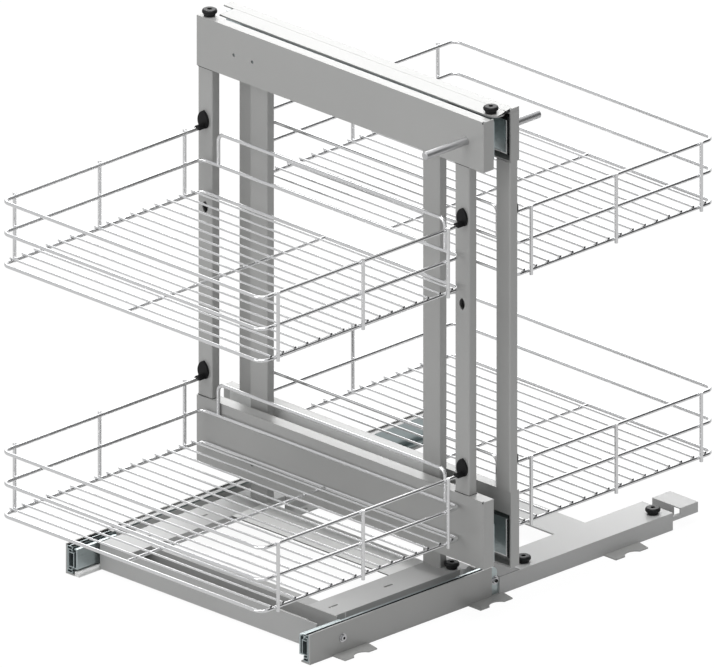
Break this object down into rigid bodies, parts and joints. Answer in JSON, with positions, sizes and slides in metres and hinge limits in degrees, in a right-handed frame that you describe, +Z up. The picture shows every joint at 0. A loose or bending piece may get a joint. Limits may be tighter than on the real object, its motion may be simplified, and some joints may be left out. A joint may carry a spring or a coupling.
{
  "type": "corner cabinet pull-out basket unit",
  "caption": "Corner cabinet pull-out: a carriage slides sideways on the floor base and two frames of wire baskets pull out to the front on telescopic slides.",
  "frame": {"origin": "bottom centre of the whole unit's bounding box, on the cabinet floor", "axes": "+X is the way the basket frames pull out, +Y runs across the cabinet, -Y is the way the carriage slides, +Z is up"},
  "size_m": [0.4895, 0.7558, 0.6565],
  "materials": {
    "grey_paint": "satin",
    "pale_paint": "satin",
    "zinc_sheet": "satin",
    "zinc_slide": "satin",
    "bright_steel": "polished",
    "wire_plating": "polished",
    "black_rubber": "matte",
    "black_clip": "satin"
  },
  "bodies": {
    "base": {"side_plate_front": "grey_paint", "side_plate_back": "grey_paint", "base_channel_front": "pale_paint", "base_channel_back": "pale_paint", "base_cross_plate": "pale_paint", "end_bracket": "pale_paint", "floor_tabs": "grey_paint", "splice_plate": "zinc_sheet", "base_slide_outer_front": "zinc_slide", "base_slide_outer_back": "zinc_slide", "base_screws": "bright_steel", "base_buffers": "black_rubber"},
    "base_middle": {"base_slide_middle_front": "zinc_slide", "base_slide_middle_back": "zinc_slide", "base_slide_balls": "bright_steel"},
    "carriage": {"base_slide_inner_front": "zinc_slide", "base_slide_inner_back": "zinc_slide", "carriage_strip_front": "pale_paint", "carriage_strip_back": "pale_paint", "carriage_cross": "pale_paint", "centre_upright_front": "grey_paint", "centre_upright_back": "grey_paint", "centre_top_rail": "zinc_sheet", "centre_low_rail": "zinc_sheet", "centre_top_plate": "pale_paint", "carriage_buffers": "black_rubber", "left_top_slide_outer": "zinc_slide", "left_low_slide_outer": "zinc_slide", "right_top_slide_outer": "zinc_slide", "right_low_slide_outer": "zinc_slide"},
    "left_middle": {"left_top_slide_middle": "zinc_slide", "left_low_slide_middle": "zinc_slide", "left_slide_balls": "bright_steel"},
    "right_middle": {"right_top_slide_middle": "zinc_slide", "right_low_slide_middle": "zinc_slide", "right_slide_balls": "bright_steel"},
    "left_frame": {"left_top_beam": "grey_paint", "left_low_beam": "grey_paint", "left_upright_front": "grey_paint", "left_upright_back": "grey_paint", "left_top_slide_inner": "zinc_slide", "left_low_slide_inner": "zinc_slide", "left_pin": "bright_steel", "left_upper_basket": "wire_plating", "left_lower_basket": "wire_plating", "left_basket_floors": "wire_plating", "left_clips": "black_clip", "left_buffer": "black_rubber"},
    "right_frame": {"right_top_beam": "grey_paint", "right_low_beam": "grey_paint", "right_upright_front": "grey_paint", "right_upright_back": "grey_paint", "right_top_slide_inner": "zinc_slide", "right_low_slide_inner": "zinc_slide", "right_pin": "bright_steel", "right_upper_basket": "wire_plating", "right_lower_basket": "wire_plating", "right_basket_floors": "wire_plating", "right_clips": "black_clip"}
  },
  "joints": [
    {"name": "carriage_slide", "type": "slide", "parent": "base", "child": "carriage", "axis": [0, -1, 0], "range_m": [0, 0.28]},
    {"name": "base_middle_slide", "type": "slide", "parent": "base", "child": "base_middle", "axis": [0, -1, 0], "range_m": [0, 0.14]},
    {"name": "left_frame_slide", "type": "slide", "parent": "carriage", "child": "left_frame", "axis": [1, 0, 0], "range_m": [0, 0.44]},
    {"name": "left_middle_slide", "type": "slide", "parent": "carriage", "child": "left_middle", "axis": [1, 0, 0], "range_m": [0, 0.22]},
    {"name": "right_frame_slide", "type": "slide", "parent": "carriage", "child": "right_frame", "axis": [1, 0, 0], "range_m": [0, 0.44]},
    {"name": "right_middle_slide", "type": "slide", "parent": "carriage", "child": "right_middle", "axis": [1, 0, 0], "range_m": [0, 0.22]}
  ],
  "couplings": [
    {"joint": "base_middle_slide", "follows": "carriage_slide", "ratio": 0.5},
    {"joint": "left_middle_slide", "follows": "left_frame_slide", "ratio": 0.5},
    {"joint": "right_middle_slide", "follows": "right_frame_slide", "ratio": 0.5}
  ]
}
